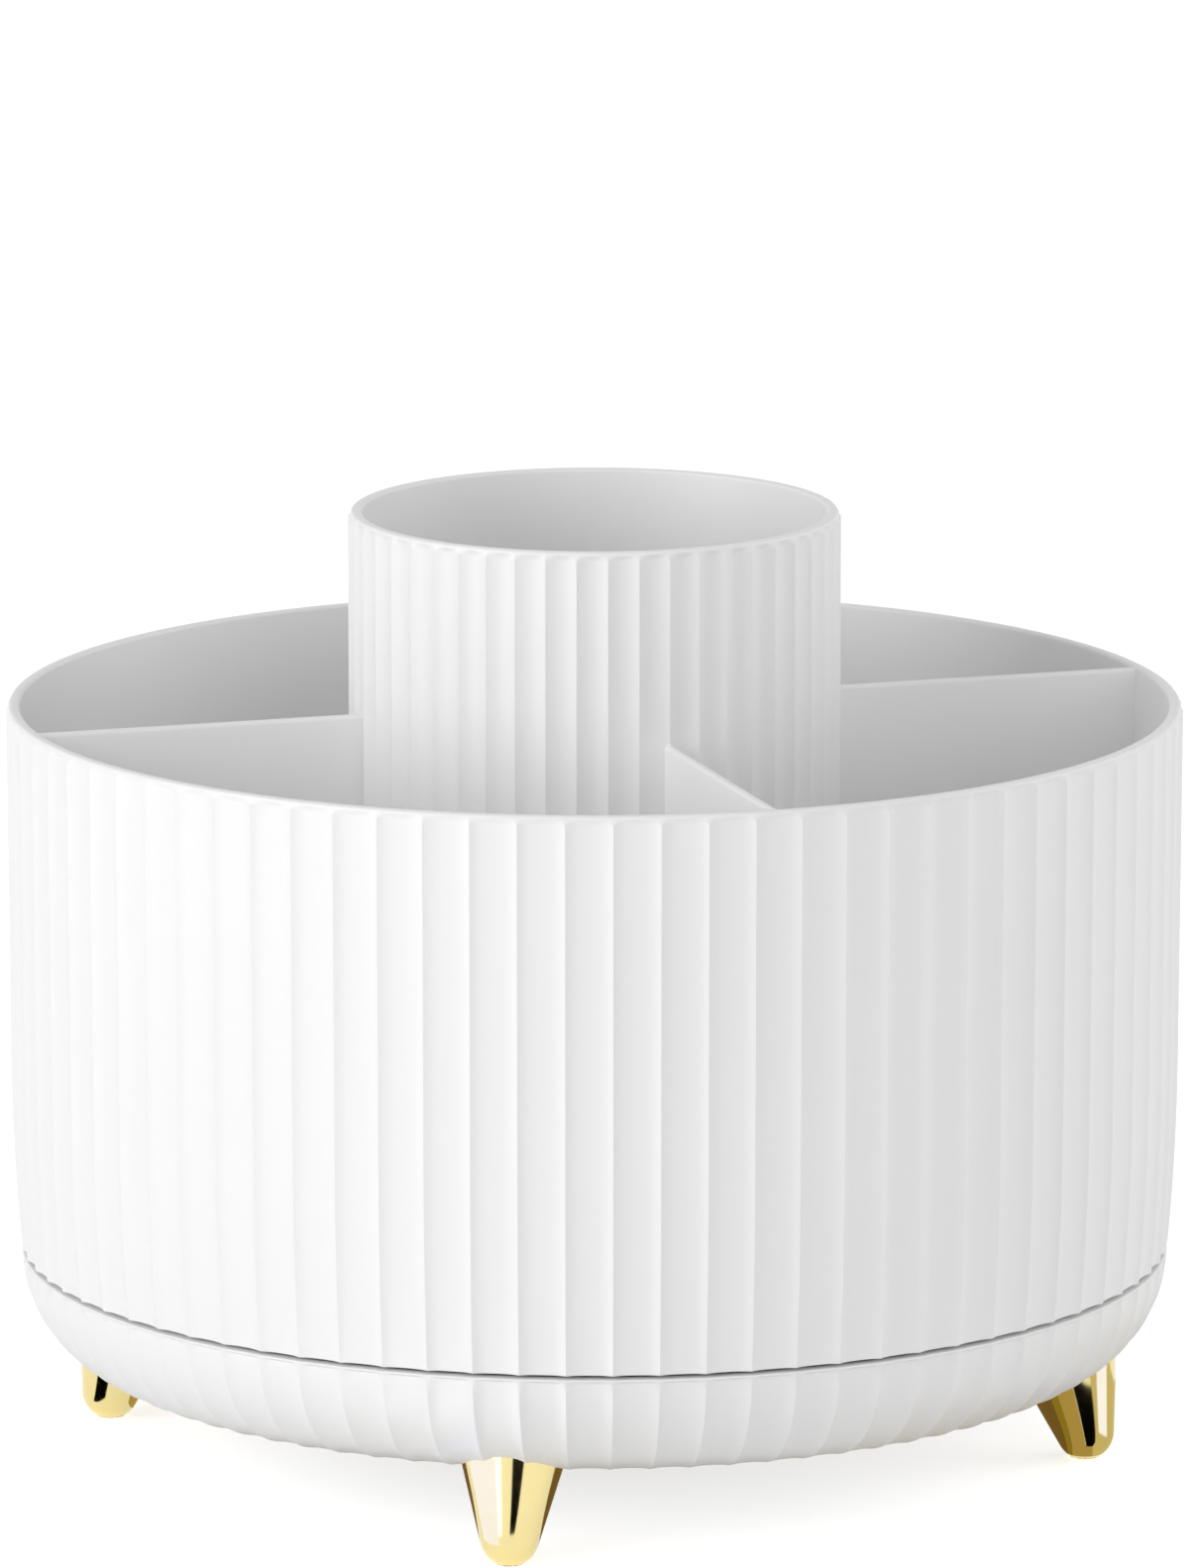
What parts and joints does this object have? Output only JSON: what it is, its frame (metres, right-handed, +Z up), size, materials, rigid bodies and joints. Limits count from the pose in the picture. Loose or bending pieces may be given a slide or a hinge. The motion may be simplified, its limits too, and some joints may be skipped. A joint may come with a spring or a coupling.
{
  "type": "rotating makeup organizer",
  "caption": "Round fluted organizer tub with radial compartments and a tall middle cup, turning on a dish with splayed feet.",
  "frame": {"origin": "on the spin axis, at the level of the table that the feet stand on", "axes": "+Z up along the spin axis; the dividers lie on X and Y; one foot is 27 degrees clockwise of +X seen from above"},
  "size_m": [0.1998, 0.1998, 0.1621],
  "materials": {
    "white_plastic": "smooth white moulding",
    "gold_plating": "polished gold-coloured plating",
    "glide_plastic": "satin natural acetal",
    "steel": "zinc-plated steel"
  },
  "bodies": {
    "base": {"base_dish": "white_plastic", "feet": "gold_plating", "foot_screws": "steel", "glide_washer": "glide_plastic"},
    "tub": {"organizer_tub": "white_plastic", "retaining_washer": "steel", "centre_screw": "steel"}
  },
  "joints": [
    {"name": "tub_spin", "type": "hinge", "parent": "base", "child": "tub", "pos_m": [0, 0, 0.0354], "axis": [0, 0, 1], "continuous": true}
  ]
}
